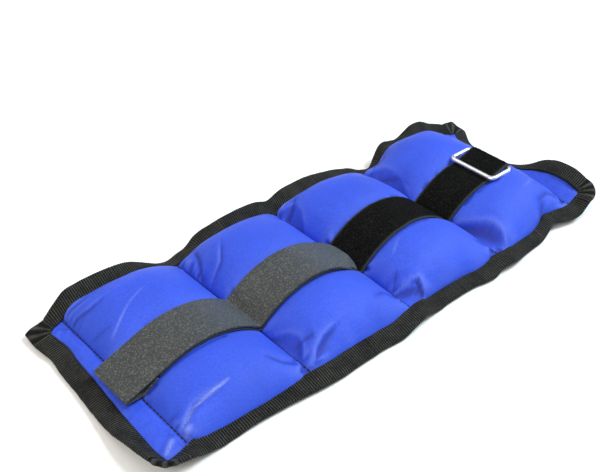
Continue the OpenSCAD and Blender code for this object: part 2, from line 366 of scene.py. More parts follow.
def webbing(name):
    """Smooth woven strap: dark grey with a fine twill, painted shade in its grooves, and pale specks."""
    m = Nodes(name)
    u, v = m.cloth_uv()
    twill = m.wave(m.math("ADD", u, m.math("MULTIPLY", v, 0.7)), 0.42)
    height = m.math("MULTIPLY_ADD", m.wave(v, 0.36), 0.5, twill)
    base = m.mix(m.patches(45, 3, 0.3, 0.7), (0.016, 0.017, 0.014, 1), (0.025, 0.026, 0.022, 1))
    speck = m.math("MULTIPLY", m.patches(1050, 2, 0.50, 0.66, rough=0.6), 0.75)
    base = m.mix(speck, base, (0.17, 0.17, 0.14, 1))
    # Painted shade: the twill's grooves darkened.
    twill_groove_shade = m.math("SUBTRACT", 1.0, m.math("MULTIPLY_ADD", twill, 0.5, 0.5))
    colour = m.mix(m.math("MULTIPLY", twill_groove_shade, 0.35), base, (0.010, 0.010, 0.010, 1))
    return m.done(colour, Normal=m.bump(height, 0.55, 0.00014, m.bump(m.noise(700, 3), 0.4, 0.0003)),
                  Roughness=0.5, Specular_IOR_Level=0.55,
                  Sheen_Weight=0.3, Sheen_Roughness=0.4, Sheen_Tint=(0.35, 0.55, 1.0, 1))


def plain(name, base, rough, metallic=0.0, grain=400, depth=0.0001):
    """An even material with a slight grain: thread, wire, film and sand."""
    m = Nodes(name)
    colour = m.mix(m.patches(grain, 3, 0.3, 0.7), shade_of(base, 0.85), shade_of(base, 1.1))
    smooth = m.ramp(m.noise(grain * 0.3, 3), [(0.2, rough * 0.8), (0.8, min(1, rough * 1.25))])
    return m.done(colour, Normal=m.bump(m.noise(grain * 2, 3), 0.3, depth), Roughness=smooth,
                  Metallic=metallic)


# Blue nylon: its own blue, the colour of the painted shade in folds, and the pale of its fold marks and of
# the painted highlight on crests.
BLUE = nylon("blue_nylon", (0.026, 0.082, 0.70), (0.008, 0.014, 0.22), (0.44, 0.54, 0.95))
# Black grosgrain: its own black, and the pale of the painted highlight on its ribs.
GROSGRAIN = ribbed("black_grosgrain", (0.0010, 0.0010, 0.0010), (0.080, 0.080, 0.0704))
PILE = pile("black_loop_pile")
WEBBING = webbing("grey_webbing")
THREAD = plain("black_thread", (0.005, 0.005, 0.006), 0.6, grain=1500)
NICKEL = plain("bright_nickel", (0.96, 0.96, 0.95), 0.34, metallic=1.0, grain=300, depth=0.00002)
FILM = plain("bag_film", (0.72, 0.74, 0.76), 0.25, grain=60, depth=0.0004)
SAND = plain("dry_sand", (0.50, 0.40, 0.27), 0.9, grain=2500, depth=0.0006)


# ---------------------------------------------------------------- the binding's course
# The binding's inner edge along the far and near sides, by place along the cuff: its height, its tilt with
# the outer edge up, and how far out it lies
FAR_Z = curve_through({
    -173: 4.4, -162: 4.8, -156: 5.4, -150: 6.6, -143: 10.6, -132: 12.3, -115: 12.7, -100: 12.2, -90: 10.2,
    -81: 7.2, -75: 6.4, -68: 7.8, -56: 10.2, -40: 10.8, -20: 10.8, -9: 9.8, 0: 7.0, 8: 9.8, 18: 12.2,
    30: 12.6, 45: 11.6, 58: 9.4, 69: 6.9, 75: 6.0, 82: 5.4, 88: 6.2, 95: 9.4, 103: 11.6, 115: 12.2,
    130: 12.6, 142: 10.8, 150: 7.0, 158: 7.6, 173: 7.6})
FAR_TILT = curve_through({
    -173: -10, -162: -14, -156: 0, -150: 22, -143: 28, -127: 26, -116: 27, -104: 20, -95: 2, -87: -12,
    -79: -18, -70: -16, -61: -16, -55: 2, -46: 16, -33: 30, -20: 38, -7: 44, 7: 40, 20: 22, 35: 17, 49: 10,
    64: 5, 75: -4, 83: -20, 90: -28, 96: -14, 103: 10, 111: 0, 120: -12, 128: -4, 135: 22, 141: 35, 148: 38,
    157: 22, 173: 10})
FAR_OFF = curve_through({
    -173: -4.6, -162: -2.6, -155: -0.6, -148: 1.0, -112: 1.4, -90: 0.4, -75: -0.4, -62: 0.4, -37: 0.8,
    0: 0.4, 37: 0.8, 70: 0.4, 80: -1.2, 89: -2.6, 98: -0.4, 112: 1.2, 147: 1.0, 153: -1.0, 160: -6.5,
    173: -13.0})
NEAR_Z = curve_through({
    -173: 2.6, -158: 2.7, -150: 4.2, -138: 4.0, -112: 3.8, -92: 4.2, -80: 5.0, -72: 5.8, -58: 5.6, -37: 5.4,
    -18: 5.4, -6: 6.0, 4: 5.8, 12: 5.0, 29: 4.6, 50: 4.6, 66: 5.2, 76: 6.0, 86: 5.4, 100: 4.6, 114: 4.8,
    126: 6.4, 136: 6.6, 144: 6.4, 150: 6.4, 156: 8.6, 173: 11.0})
NEAR_TILT = curve_through({
    -173: 44, -160: 42, -153: 26, -146: 2, -138: -10, -112: -7, -92: -9, -80: -14, -70: -20, -56: -22,
    -37: -21, -18: -20, -7: -12, 3: -4, 10: -14, 29: -14, 50: -15, 66: -14, 76: -4, 86: -14, 100: -16,
    114: -14, 126: -4, 136: -14, 146: -8, 156: 8, 173: 18})
NEAR_OFF = curve_through({
    -173: 0.9, -160: 0.9, -154: 0.4, -145: -1.6, -136: -1.8, -122: -2.2, -106: -1.6, -94: -0.6, -84: 0.7,
    -76: 1.9, -65: 2.7, -53: 2.4, -40: 2.0, -28: 2.2, -16: 2.9, -4: 1.5, 5: 0.2, 15: -0.6, 29: -1.3,
    46: -0.9, 60: 1.6, 70: 0.4, 78: 1.6, 88: 0.0, 98: -1.6, 110: -2.6, 119: -4.6, 127: -7.0, 134: -4.6,
    145: -2.0, 156: -2.4, 173: -3.4})
# The same along the two ends, by place across the cuff
LEFT_Z = curve_through({-58: 2.6, -40: 2.8, -20: 3.3, 0: 3.7, 40: 3.9, 58: 4.8})
LEFT_TILT = curve_through({-58: 44, -48: 40, -38: 28, -26: 8, -12: -6, 0: -11, 25: -14, 45: -10, 58: -14})
LEFT_OFF = curve_through({
    -58: 1.2, -50: 2.2, -40: 2.0, -30: 1.4, -20: 0.8, -4: -0.4, 14: -1.8, 26: -2.4, 38: -3.8, 48: -2.8,
    58: -1.6})
RIGHT_Z = curve_through({
    -58: 9.4, -52: 11.5, -42: 13.6, -30: 13.2, -19: 10.4, -9: 6.6, 4: 5.2, 25: 5.0, 42: 5.4, 50: 6.6,
    58: 8.6})
RIGHT_TILT = curve_through({
    -58: 14, -48: 26, -36: 30, -24: 26, -12: 4, 0: -20, 25: -24, 40: -18, 50: 4, 58: 20})
RIGHT_OFF = curve_through({
    -58: -1.4, -45: -0.6, -30: -0.8, -10: -2.4, 8: -5.0, 30: -6.0, 42: -5.0, 50: -1.5, 58: 1.0})
# How far the cloth comes out over the binding's inner edge
FAR_TUCK = curve_through({
    -173: 1.0, -150: 1.2, 0: 1.4, 72: 1.2, 88: 3.6, 108: 4.0, 124: 2.6, 136: 1.4, 150: 1.2, 173: 1.0})
NEAR_TUCK = curve_through({
    -173: 0.8, -152: 0.8, -146: 2.2, -138: 3.4, -90: 3.6, -75: 1.4, -37: 1.6, 0: 1.4, 20: 2.4, 55: 2.4,
    75: 1.2, 92: 2.8, 120: 2.8, 136: 1.6, 150: 1.2, 173: 1.0})


def side_frame(x, side):
    """Inner edge of the binding on the far (1) or near (-1) side: its point, outward and upward units."""
    x = np.asarray(x, float)
    z, tilt, off = (FAR_Z, FAR_TILT, FAR_OFF) if side > 0 else (NEAR_Z, NEAR_TILT, NEAR_OFF)
    a = np.radians(tilt(x))
    zero = np.zeros_like(x)
    point = np.stack([x, side * (HALF_W + off(x)), z(x)], -1)
    out = np.stack([zero, side * np.cos(a), np.sin(a)], -1)
    up = np.stack([zero, -side * np.sin(a), np.cos(a)], -1)
    return point, out, up


def end_frame(y, side):
    """Inner edge of the binding at the right (1) or left (-1) end: its point, outward and upward units."""
    y = np.asarray(y, float)
    z, tilt, off = (RIGHT_Z, RIGHT_TILT, RIGHT_OFF) if side > 0 else (LEFT_Z, LEFT_TILT, LEFT_OFF)
    a = np.radians(tilt(y))
    zero = np.zeros_like(y)
    point = np.stack([side * (END_X + off(y)), y, z(y)], -1)
    out = np.stack([side * np.cos(a), zero, np.sin(a)], -1)
    up = np.stack([-side * np.sin(a), zero, np.cos(a)], -1)
    return point, out, up


def binding_section():
    """Folded tape in section: across from the inner edge out, and up."""
    w, r = BINDING_W, BINDING_HALF_T
    top = [(a, r * (0.94 + 0.10 * math.sin(math.pi * a / w))) for a in np.linspace(0.15, w - r, 13)]
    nose = [(w - r + r * math.sin(t), r * math.cos(t)) for t in np.linspace(0, math.pi, 9)[1:-1]]
    under = [(a, -c) for a, c in reversed(top)]
    inner = [(0.0, -r * 0.6), (0.05, 0.0), (0.0, r * 0.6)]
    return np.array(top + nose + under + inner)


RIB_PITCH = 1.4
PATH_STEP = RIB_PITCH / 4
SECTION = binding_section()
STITCH_IN = 1.9                 # from the binding's inner edge to its stitching


def rib_height(s):
    """From 0 between the ribs to 1 on them."""
    return 0.5 + 0.5 * np.cos(2 * np.pi * s / RIB_PITCH)


def rib_shape(seed):
    """Ribs across the tape, and the slight puckers that its stitching draws."""

    def shape(a, c, s):
        lift = 0.40 * (rib_height(s) - 0.5)
        pull = 0.10 * smooth_noise(s, a, 2.6, seed) + 0.22 * smooth_noise(s, a, 7.0, seed + 1)
        stitch = -0.16 * np.exp(-(((a - STITCH_IN) / 0.7) ** 2))
        body = np.clip(a, 0, 1)
        wander = 0.15 * smooth_noise(s, 0 * s, 5.0, seed + 2)
        return a + wander, c + np.sign(c) * (lift + stitch) * body + pull * body

    return shape


def bind(name, points, outs, ups, seed):
    """A length of binding along inner-edge points, outward and upward units."""
    rows, s = resample(np.concatenate([points, outs, ups], 1), PATH_STEP)
    p, out, up = rows[:, :3], rows[:, 3:6], unit(rows[:, 6:9])
    ribs = np.repeat(rib_height(s), len(SECTION))
    return sweep(name, p, out, up, SECTION, s, GROSGRAIN, shape=rib_shape(seed), extra={"rib": ribs})


def stitch_row(name, places, along, up, length, thick):
    """Small rounded stitches lying along a line of places."""
    rings, sides, sink = 7, 8, 0.12
    t = np.linspace(-1, 1, rings)
    r = np.sqrt(np.maximum(1 - np.abs(t) ** 3, 0.0)) * thick / 2
    ang = np.arange(sides) * 2 * math.pi / sides
    third = np.cross(along, up)
    base = (t[None, :, None, None] * along[:, None, None] * length / 2
            + (r[:, None] * np.cos(ang))[None, ..., None] * third[:, None, None]
            + (r[:, None] * np.sin(ang))[None, ..., None] * up[:, None, None])
    droop = -(t**2)[None, :, None, None] * up[:, None, None] * thick * 0.55
    p = places[:, None, None] + base + droop - sink * up[:, None, None]
    faces = [grid_faces(rings, sides, wrap=True, first=k * rings * sides) for k in range(len(places))]
    return new_object(name, p.reshape(-1, 3), np.concatenate(faces)[:, ::-1], None, THREAD)


# ---------------------------------------------------------------- cloth
NX, NY = ((49, 73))


def fullness(t):
    """How full a pocket is across the cuff, from 1 in the middle to 0 at its edges."""
    return np.maximum(1 - np.abs(t) ** 3.1, 0.0) ** 0.58


def crown_radius(rise):
    """Radius of the arc that rises so far over a pocket's length."""
    return ((PITCH / 2) ** 2 + rise * rise) / (2 * rise)


def arc(x, rise):
    """Height of an arc of that rise over a pocket, at x from its middle."""
    rise = np.maximum(rise, 1e-4)
    r = crown_radius(rise)
    return np.sqrt(np.maximum(r * r - x * x, 0)) - (r - rise)


# Folds where the filled cloth is gathered, for each pocket: x and y of each end from the pocket's middle,
# half width, and depth, where up is +
FOLDS = [
    [(-37, 57, -18, 52, 3.0, 2.0), (-36, 50, -16, 42, 3.4, -2.0), (-37, 40, -20, 30, 4.0, 1.2),
     (-37, -50, -4, -44, 2.4, 1.2), (-37, -44, -10, -38, 3.6, -1.2), (-30, -58, -8, -52, 3.0, -1.0),
     (37, 54, 20, 44, 4.0, -1.8), (37, 44, 22, 30, 4.0, 1.2), (37, -54, 22, -46, 3.0, -1.6),
     (36, -44, 18, -30, 5.0, 1.0), (0, 50, 10, 20, 7.0, -0.8)],
    [(-36, 36, -24, 57, 2.4, -2.6), (-36, 50, -18, 40, 3.0, 1.8), (-36, 30, -18, 16, 5.0, -1.4),
     (-26, 57, -10, 44, 3.0, 1.6), (-35, -60, -27, -50, 2.4, -3.0), (-26, -54, -16, -42, 8.0, -2.6),
     (-37, -50, -20, -34, 2.6, 1.6), (-8, -58, -10, -46, 3.4, 1.4), (37, -50, 22, -40, 3.4, -1.4),
     (37, 52, 18, 42, 4.0, -1.8), (37, 40, 24, 22, 4.5, 1.2), (12, -56, 18, -30, 6.0, -0.9)],
    [(-31, -59, -28, -45, 2.6, -4.2), (-20, -59, -23, -46, 3.0, 2.6), (-37, -46, -22, -34, 6.0, -2.4),
     (-36, -34, -16, -24, 3.4, 1.2), (-37, 58, -16, 55, 2.6, 1.8), (-36, 46, -22, 54, 3.0, -2.6),
     (-36, 38, -18, 28, 4.4, 1.2), (37, -54, 22, -44, 3.4, -2.0), (36, -42, 20, -30, 4.0, 1.3),
     (37, 50, 22, 38, 5.0, -1.6), (8, -57, 14, -34, 6.0, -0.9), (6, 56, 10, 30, 6.0, -0.8)],
    [(-35, -52, -25, -30, 7.5, -3.8), (-37, -22, -20, -32, 3.2, 1.8), (-24, -58, -14, -44, 4.0, 1.8),
     (-34, 42, -26, 22, 6.5, -2.4), (-35, 54, -14, 56, 3.0, 1.8), (-30, 48, -12, 40, 3.0, 1.2),
     (36, -52, 12, -50, 3.4, -2.4), (37, -42, 18, -28, 4.0, 1.8), (36, -24, 24, -12, 4.4, -1.2),
     (14, -56, 10, -34, 4.0, -1.2), (36, 50, 16, 40, 4.0, -1.8), (36, 36, 22, 24, 4.0, 1.2)],
]


def along_line(x, y, start, end):
    """Share along a line from start to end, and distance from it."""
    (ax, ay), (bx, by) = start, end
    d = np.array([bx - ax, by - ay], float)
    t = ((x - ax) * d[0] + (y - ay) * d[1]) / (d @ d)
    c = np.clip(t, 0, 1)
    return t, np.hypot(x - ax - c * d[0], y - ay - c * d[1])


def fold_field(i, x, y):
    """Height of the gathered folds: each deepest at its start by the seam."""
    total = np.zeros_like(x)
    for ax, ay, bx, by, wide, depth in FOLDS[i]:
        t, gap = along_line(x, y, (ax, ay), (bx, by))
        taper = np.clip(1 - t, 0, 1) ** 0.8
        r = gap / wide
        total += depth * taper * (1 - 0.6 * r * r) * np.exp(-r * r)
    edge = np.clip((PITCH / 2 - np.abs(x)) / 3, 0, 1) * np.clip((HALF_W - np.abs(y)) / 2.5, 0, 1)
    return total * edge


def pocket_sheets(i):
    """The ideal top and bottom of a pocket, each (rows, columns, 3), with a shared edge."""
    u, v = np.linspace(-1, 1, NX), np.linspace(-1, 1, NY)
    x = CENTRES[i] + PITCH / 2 * u
    near, out_n, _ = side_frame(x, -1)
    far, out_f, _ = side_frame(x, 1)
    near, far = near + NEAR_TUCK(x)[:, None] * out_n, far + FAR_TUCK(x)[:, None] * out_f
    for edge in (near, far):            # the corners end on the seams
        edge[[0, -1], 2] = SEAM_Z
    share = ((v + 1) / 2)[:, None, None]
    base = near[None] * (1 - share) + far[None] * share
    w_near, w_far = (np.clip(w, 0, 1)[:, None] ** 3 for w in (-v, v))
    base[..., 2] = near[:, 2] * w_near + far[:, 2] * w_far + SEAM_Z * (1 - np.abs(v)[:, None] ** 3)
    uu, vv = np.meshgrid(u, v)
    xx = uu * PITCH / 2
    h = CROWN_H[i] * fullness(vv) * (1 + CROWN_TILT[i] * vv)
    lumps = (0.6 * smooth_noise(xx, vv * 57, 26, 11 + i)
             + 0.45 * smooth_noise(xx + 0.6 * vv * 57, vv * 30, 12, 21 + i)
             - 0.5 * np.abs(smooth_noise(xx - 0.5 * vv * 57, vv * 40, 17, 31 + i)))
    h = h + 1.3 * lumps * fullness(vv)
    top, low = base.copy(), base.copy()
    top[..., 2] += arc(xx, h) + fold_field(i, xx, vv * HALF_W)
    low[..., 2] -= arc(xx, BELLY * fullness(vv))
    low[..., 2] = np.maximum(low[..., 2], CLOTH_GAP)
    for sheet in (top, low):
        sheet[[0, -1]] = base[[0, -1]]
        sheet[:, [0, -1]] = base[:, [0, -1]]
        sheet[:, [0, -1], 2] = SEAM_Z
    return top, low


def excess(i, low=False):
    """Spare cloth, as a share of length, over a pocket: most at the seams' ends."""
    u, v = np.meshgrid(np.linspace(-1, 1, NX), np.linspace(-1, 1, NY))
    du, dv = (1 - np.abs(u)) * PITCH / 2, (1 - np.abs(v)) * HALF_W
    corner = np.exp(-((du / 15) ** 2 + (dv / 17) ** 2))
    rim = np.exp(-dv / 7.0)
    amount = 0.004 + 0.030 * corner + 0.008 * rim
    amount = amount * (1 + 0.6 * smooth_noise(u * 37, v * 57, 14, 40 + i))
    return amount * (0.6 if low else 1.0)


def pairs():
    """Groups of grid neighbours that share no point: index pair, kind."""
    full = slice(None)
    found = []
    for k in (0, 1):
        found.append(((full, full, slice(k, NX - 1, 2)), (full, full, slice(k + 1, NX, 2)), 1.0))
        found.append(((full, slice(k, NY - 1, 2), full), (full, slice(k + 1, NY, 2), full), 1.0))
    for k in (0, 1):
        found.append(((full, slice(0, NY - 1), slice(k, NX - 1, 2)),
                      (full, slice(1, NY), slice(k + 1, NX, 2)), 0.25))
        found.append(((full, slice(1, NY), slice(k, NX - 1, 2)),
                      (full, slice(0, NY - 1), slice(k + 1, NX, 2)), 0.25))
    for k in (0, 1):
        cols = np.array([c for c in range(NX - 2) if c % 4 // 2 == k])
        rows = np.array([r for r in range(NY - 2) if r % 4 // 2 == k])
        found.append(((full, full, cols), (full, full, cols + 2), 0.16))
        found.append(((full, rows), (full, rows + 2), 0.16))
    return found


def settle(p, spare, push, ceilings, rounds, inner):
    """Lets pinned sheets find their shape: lengths kept, pushed outwards, floor below.
    p is (sheets, rows, columns, 3) in mm; push is each sheet's pressure, signed."""
    groups = []
    for a, b, stiff in pairs():
        rest = np.linalg.norm(p[b] - p[a], axis=-1)
        rest = rest * (1 + (spare[a] + spare[b]) / 2)
        groups.append((a, b, rest[..., None], stiff))
    free = np.ones(p.shape[:3] + (1,))
    free[:, [0, -1]] = 0
    free[:, :, [0, -1]] = 0
    kick = [smooth_noise(p[n, ..., 0], p[n, ..., 1], 9.0, 5 + n) for n in range(len(p))]
    p[..., 2:] += 0.35 * np.array(kick)[..., None] * free
    before = p.copy()
    for _ in range(rounds):
        du, dv = np.zeros_like(p), np.zeros_like(p)
        du[:, :, 1:-1] = p[:, :, 2:] - p[:, :, :-2]
        dv[:, 1:-1] = p[:, 2:] - p[:, :-2]
        normal = unit(np.cross(du, dv))
        speed = (p - before) * 0.86
        before = p.copy()
        p = p + free * (speed + push * normal)
        for _ in range(inner):
            for a, b, rest, stiff in groups:
                d = p[b] - p[a]
                length = np.sqrt((d * d).sum(-1, keepdims=True))
                wa, wb = free[a], free[b]
                move = stiff * (length - rest) / np.maximum(length * (wa + wb), 1e-6) * d
                p[a] += wa * move
                p[b] -= wb * move
        p[..., 2] = np.where(free[..., 0] > 0, np.clip(p[..., 2], CLOTH_GAP, ceilings), p[..., 2])
    return p


def calm_rims(p):
    """Takes the fine ripples out of the rows by the long edges, away from the seams' ends."""
    rows, cols = p.shape[1:3]
    v, u = np.abs(np.linspace(-1, 1, rows)), np.abs(np.linspace(-1, 1, cols))
    rim = np.exp(-(((1 - v) * HALF_W / 9.0) ** 2))[:, None] * np.clip((1 - u) * PITCH / 2 / 8.0, 0, 1)[None]
    rim = rim[None, ..., None]
    for _ in range(6 if rows > 40 else 2):
        near = p.copy()
        near[:, :, 1:-1] = 0.25 * p[:, :, :-2] + 0.5 * p[:, :, 1:-1] + 0.25 * p[:, :, 2:]
        p = p + rim * (near - p)
    return p


def refine(p):
    """A grid twice as fine, through the same points."""
    for axis in (0, 1):
        q = np.moveaxis(p, axis, 0)
        ext = np.concatenate([2 * q[:1] - q[1:2], q, 2 * q[-1:] - q[-2:-1]])
        mid = (9 * (ext[1:-2] + ext[2:-1]) - ext[:-3] - ext[3:]) / 16
        out = np.empty((2 * len(q) - 1,) + q.shape[1:])
        out[0::2], out[1::2] = q, mid
        p = np.moveaxis(out, 0, axis)
    return p


def bend_of(p):
    """How far each point stands above (or below) its surroundings, scaled to about -1..1."""
    out = np.zeros(p.shape[:2])
    r, c = p.shape[:2]
    normal = unit(np.cross(np.gradient(p, axis=1), np.gradient(p, axis=0)))
    for reach, share in ((2, 1.6), (5, 0.35)):
        pad = np.pad(p, ((reach, reach), (reach, reach), (0, 0)), mode="edge")
        around = (pad[:r, reach:-reach] + pad[2 * reach:, reach:-reach]
                  + pad[reach:-reach, :c] + pad[reach:-reach, 2 * reach:]) / 4
        out += share * ((p - around) * normal).sum(-1)
    return out


# ---------------------------------------------------------------- the pockets' cloth
def strap_zone(y):
    """1 under the tapes, falling to 0 beside them."""
    return 1 / (1 + np.exp((np.abs(y - TAPE_Y) - TAPE_W / 2 - 0.6) / 0.25))


def settled_sheets():
    """The four pockets' tops, then their undersides, as they settle round the sand."""
    tops, lows, ceilings = [], [], []
    for i in range(4):
        top, low = pocket_sheets(i)
        x = top[..., 0] - CENTRES[i]
        zone = strap_zone(top[..., 1])
        if i == 3:
            zone = zone * (x < 3)       # from here the tape rises to the ring
        under_strap = SEAM_Z + arc(x, STRAP_H[i]) - TAPE_GAP
        ceilings.append(np.where(zone > 0.5, under_strap, NO_CEILING))
        tops.append(top)
        lows.append(low)
    ceilings += [np.full((NY, NX), NO_CEILING)] * 4
    spare = np.array([excess(i, low) for low in (False, True) for i in range(4)])
    push = np.array([PRESSURE] * 4 + [-PRESSURE] * 4)[:, None, None, None]
    rounds, inner = ((150, 6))
    return calm_rims(settle(np.array(tops + lows), spare, push, np.array(ceilings), rounds, inner))


# Sharp creases near the seams' ends, for each pocket: points from its middle, reach, depth, and whether the
# cloth stands higher on the line's left (1), on its right (-1), or is a groove (0)
CREASES = [
    [([(-37, 57), (-30, 54), (-22, 52)], 2.4, 1.0, -1), ([(-36, 50), (-27, 45), (-18, 43)], 2.6, 0.9, 1),
     ([(-36, 30), (-26, 24)], 2.6, 0.6, 0), ([(-36, -50), (-26, -46), (-8, -47)], 2.6, 0.9, 1),
     ([(37, -53), (28, -50), (20, -43)], 2.4, 1.2, 0), ([(37, 52), (28, 46)], 2.4, 1.0, 0)],
    [([(-36, 34), (-30, 45), (-26, 58)], 2.6, 1.6, 0), ([(-36, 26), (-26, 30), (-18, 40)], 3.0, 0.9, 1),
     ([(-33, -58), (-28, -54), (-22, -52), (-12, -51)], 3.6, 2.0, 1),
     ([(-34, -44), (-24, -48)], 4.0, 1.4, 0), ([(37, -50), (28, -46), (18, -48)], 2.4, 1.0, 0),
     ([(37, 50), (26, 42)], 2.6, 1.1, 0)],
    [([(-31, -61), (-25, -57), (-24, -51), (-29, -48)], 3.0, 2.4, -1),
     ([(-36, -44), (-28, -38)], 3.0, 1.0, 0), ([(-37, 56), (-26, 58), (-14, 56)], 2.0, 0.8, 1),
     ([(-37, 46), (-24, 53)], 2.6, 1.5, 0), ([(37, -52), (27, -46)], 2.4, 1.1, 0),
     ([(37, 48), (26, 40), (18, 40)], 2.6, 1.0, 0)],
    [([(-34, 42), (-30, 30), (-31, 20)], 4.0, 1.4, 0), ([(-35, 52), (-24, 54), (-14, 56)], 2.4, 0.9, 1),
     ([(16, -50), (8, -54)], 2.2, 0.9, 0), ([(37, -50), (24, -46), (12, -48)], 2.4, 1.3, 0),
     ([(37, 48), (26, 42)], 2.4, 1.1, 0), ([(36, 28), (26, 30), (20, 36)], 2.6, 0.8, 1)],
]
# Hollows beside a pocket's left seam, where the seam's end draws the cloth in: the crest's reach from the
# seam by place along it, the power of its curve, and depth as a share
HOLLOWS = {
    1: [({-52: 2, -46: 7, -38: 7, -28: 1}, 2.0, 0.6)],
    2: [({-62: 4, -58: 10, -54: 12, -50: 9, -46: 1}, 2.8, 0.9), ({30: 1, 42: 8, 52: 9, 58: 2}, 1.8, 0.6)],
    3: [({-62: 7, -57: 10, -50: 12, -42: 11, -34: 7, -27: 3, -22: 0}, 3.0, 1.0),
        ({14: 1, 24: 6, 36: 9, 48: 7, 56: 1}, 1.8, 0.7)],
}


def crease_field(i, x, y):
    """Height change and shade of a pocket's sharp creases."""
    height, shade = np.zeros_like(x), np.zeros_like(x)
    wobble = 0.4 * smooth_noise(x, y, 9.0, 90 + i)
    wx, wy = x + wobble, y + wobble
    for points, reach, depth, side in CREASES[i]:
        best, sign, place = np.full(x.shape, 1e9), np.ones(x.shape), np.zeros(x.shape)
        for n, (start, end) in enumerate(zip(points, points[1:])):
            t, gap = along_line(wx, wy, start, end)
            turn = (end[0] - start[0]) * (wy - start[1]) - (end[1] - start[1]) * (wx - start[0])
            nearer = gap < best
            best = np.where(nearer, gap, best)
            sign = np.where(nearer, np.sign(turn), sign)
            place = np.where(nearer, (n + np.clip(t, 0, 1)) / (len(points) - 1), place)
        taper = np.sin(np.pi * (0.12 + 0.86 * place)) ** 0.7
        fall = np.exp(-best / reach)
        if side:
            height += depth * taper * fall * sign * side * (1 - np.exp(-best / 0.5))
        else:
            height -= depth * taper * fall
        shade += 0.25 * depth * taper * np.exp(-best / 0.9)
    inside = np.clip((PITCH / 2 - np.abs(x)) / 2, 0, 1) * np.clip((HALF_W + 1 - np.abs(y)) / 2, 0, 1)
    keep = (1 - strap_zone(y)) * inside
    return height * keep, shade * keep


def hollow_out(i, x, y, z):
    """Lowers the cloth beside a seam into hollows with a crisp crest."""
    from_seam = PITCH / 2 + x
    for crest, power, depth in HOLLOWS.get(i, []):
        reach = np.maximum(curve_through(crest)(y), 0.01)
        t = np.clip(from_seam / reach, 0, 1)
        at_crest = np.argmin(np.abs(from_seam - reach), axis=1)[:, None]
        crest_z = np.take_along_axis(z, at_crest, 1)
        low_z = SEAM_Z + (crest_z - SEAM_Z) * t**power
        inside = (y > min(crest)) & (y < max(crest)) & (t < 1)
        z = np.where(inside, z + depth * (np.minimum(z, low_z) - z), z)
    return z


# Fold marks left in the cloth, for each pocket: x and y of each end from the pocket's middle, width, and
# strength
MARKS = [
    [(-35, -50, -26, -46, 0.9, 0.45), (-27, -46, -4, -46.5, 0.55, 0.8), (-36, -54, -31, -51, 1.4, 0.4),
     (-1, 32, -15, 26, 0.6, 0.28), (-13, 27, -30, 19, 0.8, 0.34)],
    [(14, 46, 26, 34, 0.8, 0.2)],
    [(-34, 58, -20, 56, 0.7, 0.4), (-24, -30, -12, -24, 0.8, 0.2)],
    [(-33, 54, -18, 56, 0.7, 0.3), (10, -38, 24, -34, 0.8, 0.2)],
]


def mark_field(i, x, y):
    """Strength of the pale marks where the cloth was folded."""
    total = np.zeros_like(x)
    for ax, ay, bx, by, wide, strength in MARKS[i]:
        t, gap = along_line(x, y + 0.7 * smooth_noise(x, y, 13, 60 + i), (ax, ay), (bx, by))
        taper = np.sin(np.pi * np.clip(t * 0.9 + 0.05, 0, 1)) ** 0.5
        total = np.maximum(total, strength * np.exp(-((gap / wide) ** 2)) * taper)
    return total


def close_sheets(top, low):
    """Top and bottom joined along their shared edge: points and quads."""
    rows, cols = top.shape[:2]
    index = np.arange(rows * cols).reshape(rows, cols)
    inner = np.full((rows, cols), -1)
    inner[1:-1, 1:-1] = rows * cols + np.arange((rows - 2) * (cols - 2)).reshape(rows - 2, cols - 2)
    low_index = np.where(inner >= 0, inner, index)
    quads = grid_faces(rows, cols)
    faces = np.concatenate([quads, low_index.ravel()[quads][:, ::-1]])
    points = np.concatenate([top.reshape(-1, 3), low[1:-1, 1:-1].reshape(-1, 3)])
    return points, faces


def lowest(z, reach):
    """The least value within that many points either way."""
    for axis in (0, 1):
        n = z.shape[axis]
        pad = np.pad(z, [(reach, reach) if k == axis else (0, 0) for k in (0, 1)], mode="edge")
        z = np.min([np.take(pad, np.arange(k, k + n), axis) for k in range(2 * reach + 1)], axis=0)
    return z


def inner_sheets(top, low, gap):
    """Two sheets inside the cloth, at least gap under it, that meet along their edge."""
    margin = len(top[0]) // 12
    keep = slice(margin, -margin, 2)
    a, b = top.copy(), low.copy()
    a[..., 2], b[..., 2] = lowest(top[..., 2], 3) - gap, -lowest(-low[..., 2], 3) + gap
    a, b = a[keep, keep], b[keep, keep]
    middle = (a[..., 2] + b[..., 2]) / 2
    a[..., 2], b[..., 2] = np.maximum(a[..., 2], middle + 0.02), np.minimum(b[..., 2], middle - 0.02)
    b[..., :2] = a[..., :2]
    for sheet in (a, b):
        for edge in ((0, slice(None)), (-1, slice(None)), (slice(None), 0), (slice(None), -1)):
            sheet[edge + (2,)] = middle[edge]
    return a, b


def joined(top_values, low_values):
    """Values for all points of close_sheets."""
    return np.concatenate([top_values.ravel(), low_values[1:-1, 1:-1].ravel()])


